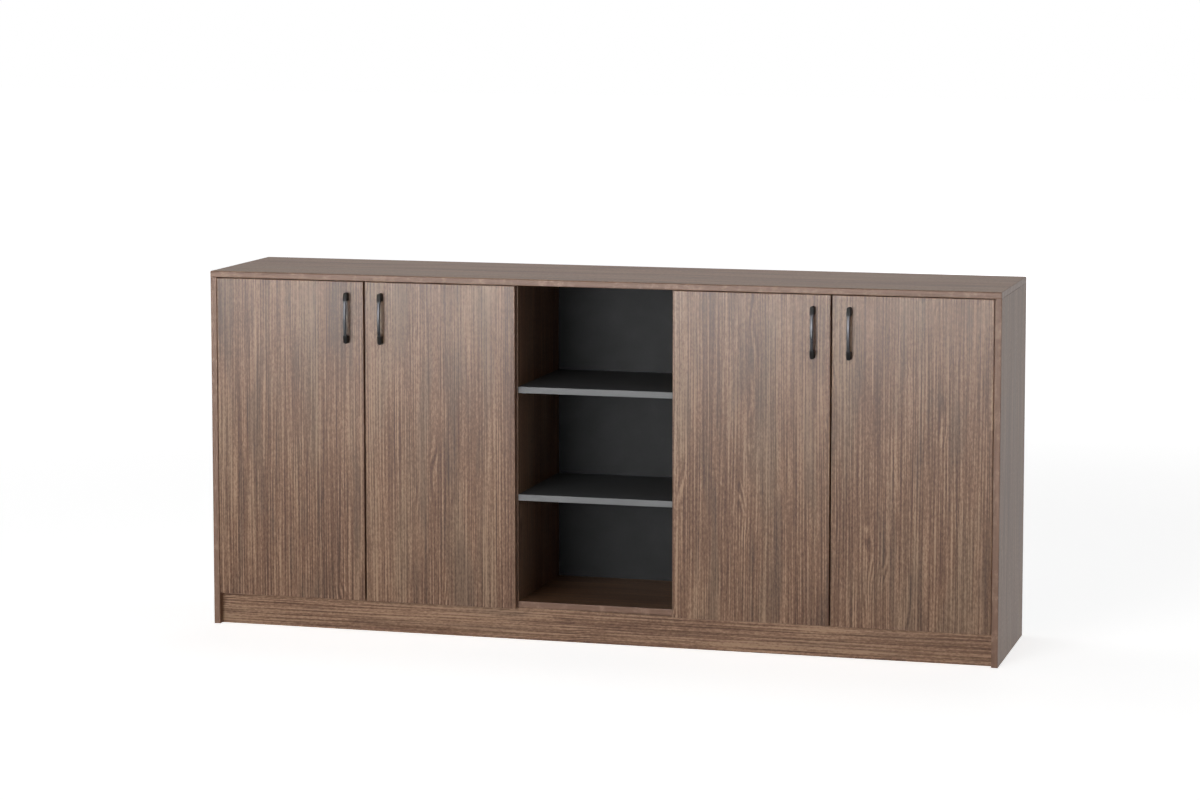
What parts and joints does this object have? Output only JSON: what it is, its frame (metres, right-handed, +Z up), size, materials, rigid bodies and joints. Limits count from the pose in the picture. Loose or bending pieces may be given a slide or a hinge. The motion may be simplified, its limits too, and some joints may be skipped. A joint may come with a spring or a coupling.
{
  "type": "low office cupboard",
  "caption": "Low wide office cupboard with hinged door pairs on concealed hinges either side of an open shelved bay, bow handles and a set-back plinth.",
  "frame": {"origin": "on the floor, in the middle of the footprint counted with the handles", "axes": "+X along the front to the right as seen from the front, +Y from the doors to the back, +Z up"},
  "size_m": [2, 0.422, 0.9],
  "materials": {
    "brown_wood_decor": "satin wood-grain melamine",
    "graphite_decor": "matt graphite melamine",
    "dark_handle_metal": "dark satin plating",
    "steel_fittings": "nickel plated",
    "zinc_fittings": "raw die-cast zinc",
    "buffer_plastic": "soft clear plastic"
  },
  "bodies": {
    "carcass": {"top_panel": "brown_wood_decor", "left_side_panel": "brown_wood_decor", "right_side_panel": "brown_wood_decor", "left_partition": "brown_wood_decor", "right_partition": "brown_wood_decor", "left_bottom_panel": "brown_wood_decor", "centre_bottom_panel": "brown_wood_decor", "right_bottom_panel": "brown_wood_decor", "plinth_board": "brown_wood_decor", "left_back_panel": "graphite_decor", "centre_back_panel": "graphite_decor", "right_back_panel": "graphite_decor", "left_lower_shelf": "graphite_decor", "left_upper_shelf": "graphite_decor", "centre_lower_shelf": "graphite_decor", "centre_upper_shelf": "graphite_decor", "right_lower_shelf": "graphite_decor", "right_upper_shelf": "graphite_decor", "cam_locks": "zinc_fittings", "left_shelf_pins": "steel_fittings", "centre_shelf_pins": "steel_fittings", "right_shelf_pins": "steel_fittings", "cam_bolts": "steel_fittings", "back_panel_screws": "steel_fittings", "hinge_plates": "steel_fittings", "hinge_plate_screws": "steel_fittings", "door_buffers": "buffer_plastic", "left_outer_hinge_arms": "steel_fittings", "left_inner_hinge_arms": "steel_fittings", "right_inner_hinge_arms": "steel_fittings", "right_outer_hinge_arms": "steel_fittings"},
    "left_outer_door_body": {"left_outer_door": "brown_wood_decor", "left_outer_handle": "dark_handle_metal", "left_outer_handle_screws": "steel_fittings", "left_outer_hinge_cups": "steel_fittings", "left_outer_cup_screws": "steel_fittings"},
    "left_outer_swing_body": {"left_outer_swing_links": "steel_fittings"},
    "left_outer_carrier_body": {"left_outer_carrier_links": "steel_fittings"},
    "left_inner_door_body": {"left_inner_door": "brown_wood_decor", "left_inner_handle": "dark_handle_metal", "left_inner_handle_screws": "steel_fittings", "left_inner_hinge_cups": "steel_fittings", "left_inner_cup_screws": "steel_fittings"},
    "left_inner_swing_body": {"left_inner_swing_links": "steel_fittings"},
    "left_inner_carrier_body": {"left_inner_carrier_links": "steel_fittings"},
    "right_inner_door_body": {"right_inner_door": "brown_wood_decor", "right_inner_handle": "dark_handle_metal", "right_inner_handle_screws": "steel_fittings", "right_inner_hinge_cups": "steel_fittings", "right_inner_cup_screws": "steel_fittings"},
    "right_inner_swing_body": {"right_inner_swing_links": "steel_fittings"},
    "right_inner_carrier_body": {"right_inner_carrier_links": "steel_fittings"},
    "right_outer_door_body": {"right_outer_door": "brown_wood_decor", "right_outer_handle": "dark_handle_metal", "right_outer_handle_screws": "steel_fittings", "right_outer_hinge_cups": "steel_fittings", "right_outer_cup_screws": "steel_fittings"},
    "right_outer_swing_body": {"right_outer_swing_links": "steel_fittings"},
    "right_outer_carrier_body": {"right_outer_carrier_links": "steel_fittings"}
  },
  "joints": [
    {"name": "left_outer_door_swing", "type": "hinge", "parent": "carcass", "child": "left_outer_door_body", "pos_m": [-0.9815, -0.1875, 0.48075], "axis": [0, 0, -1], "range_deg": [0, 100]},
    {"name": "left_outer_swing_link_turn", "type": "hinge", "parent": "carcass", "child": "left_outer_swing_body", "pos_m": [-0.961, -0.167, 0.48075], "axis": [0, 0, -1], "range_deg": [0, 100]},
    {"name": "left_outer_carrier_link_turn", "type": "hinge", "parent": "left_outer_door_body", "child": "left_outer_carrier_body", "pos_m": [-0.959, -0.18, 0.48075], "axis": [0, 0, -1], "range_deg": [-100, 0]},
    {"name": "left_inner_door_swing", "type": "hinge", "parent": "carcass", "child": "left_inner_door_body", "pos_m": [-0.2015, -0.1875, 0.48075], "axis": [0, 0, 1], "range_deg": [0, 100]},
    {"name": "left_inner_swing_link_turn", "type": "hinge", "parent": "carcass", "child": "left_inner_swing_body", "pos_m": [-0.222, -0.167, 0.48075], "axis": [0, 0, 1], "range_deg": [0, 100]},
    {"name": "left_inner_carrier_link_turn", "type": "hinge", "parent": "left_inner_door_body", "child": "left_inner_carrier_body", "pos_m": [-0.224, -0.18, 0.48075], "axis": [0, 0, 1], "range_deg": [-100, 0]},
    {"name": "right_inner_door_swing", "type": "hinge", "parent": "carcass", "child": "right_inner_door_body", "pos_m": [0.2015, -0.1875, 0.48075], "axis": [0, 0, -1], "range_deg": [0, 100]},
    {"name": "right_inner_swing_link_turn", "type": "hinge", "parent": "carcass", "child": "right_inner_swing_body", "pos_m": [0.222, -0.167, 0.48075], "axis": [0, 0, -1], "range_deg": [0, 100]},
    {"name": "right_inner_carrier_link_turn", "type": "hinge", "parent": "right_inner_door_body", "child": "right_inner_carrier_body", "pos_m": [0.224, -0.18, 0.48075], "axis": [0, 0, -1], "range_deg": [-100, 0]},
    {"name": "right_outer_door_swing", "type": "hinge", "parent": "carcass", "child": "right_outer_door_body", "pos_m": [0.9815, -0.1875, 0.48075], "axis": [0, 0, 1], "range_deg": [0, 100]},
    {"name": "right_outer_swing_link_turn", "type": "hinge", "parent": "carcass", "child": "right_outer_swing_body", "pos_m": [0.961, -0.167, 0.48075], "axis": [0, 0, 1], "range_deg": [0, 100]},
    {"name": "right_outer_carrier_link_turn", "type": "hinge", "parent": "right_outer_door_body", "child": "right_outer_carrier_body", "pos_m": [0.959, -0.18, 0.48075], "axis": [0, 0, 1], "range_deg": [-100, 0]}
  ],
  "couplings": [
    {"joint": "left_outer_swing_link_turn", "follows": "left_outer_door_swing", "ratio": 1},
    {"joint": "left_outer_carrier_link_turn", "follows": "left_outer_door_swing", "ratio": -1},
    {"joint": "left_inner_swing_link_turn", "follows": "left_inner_door_swing", "ratio": 1},
    {"joint": "left_inner_carrier_link_turn", "follows": "left_inner_door_swing", "ratio": -1},
    {"joint": "right_inner_swing_link_turn", "follows": "right_inner_door_swing", "ratio": 1},
    {"joint": "right_inner_carrier_link_turn", "follows": "right_inner_door_swing", "ratio": -1},
    {"joint": "right_outer_swing_link_turn", "follows": "right_outer_door_swing", "ratio": 1},
    {"joint": "right_outer_carrier_link_turn", "follows": "right_outer_door_swing", "ratio": -1}
  ]
}
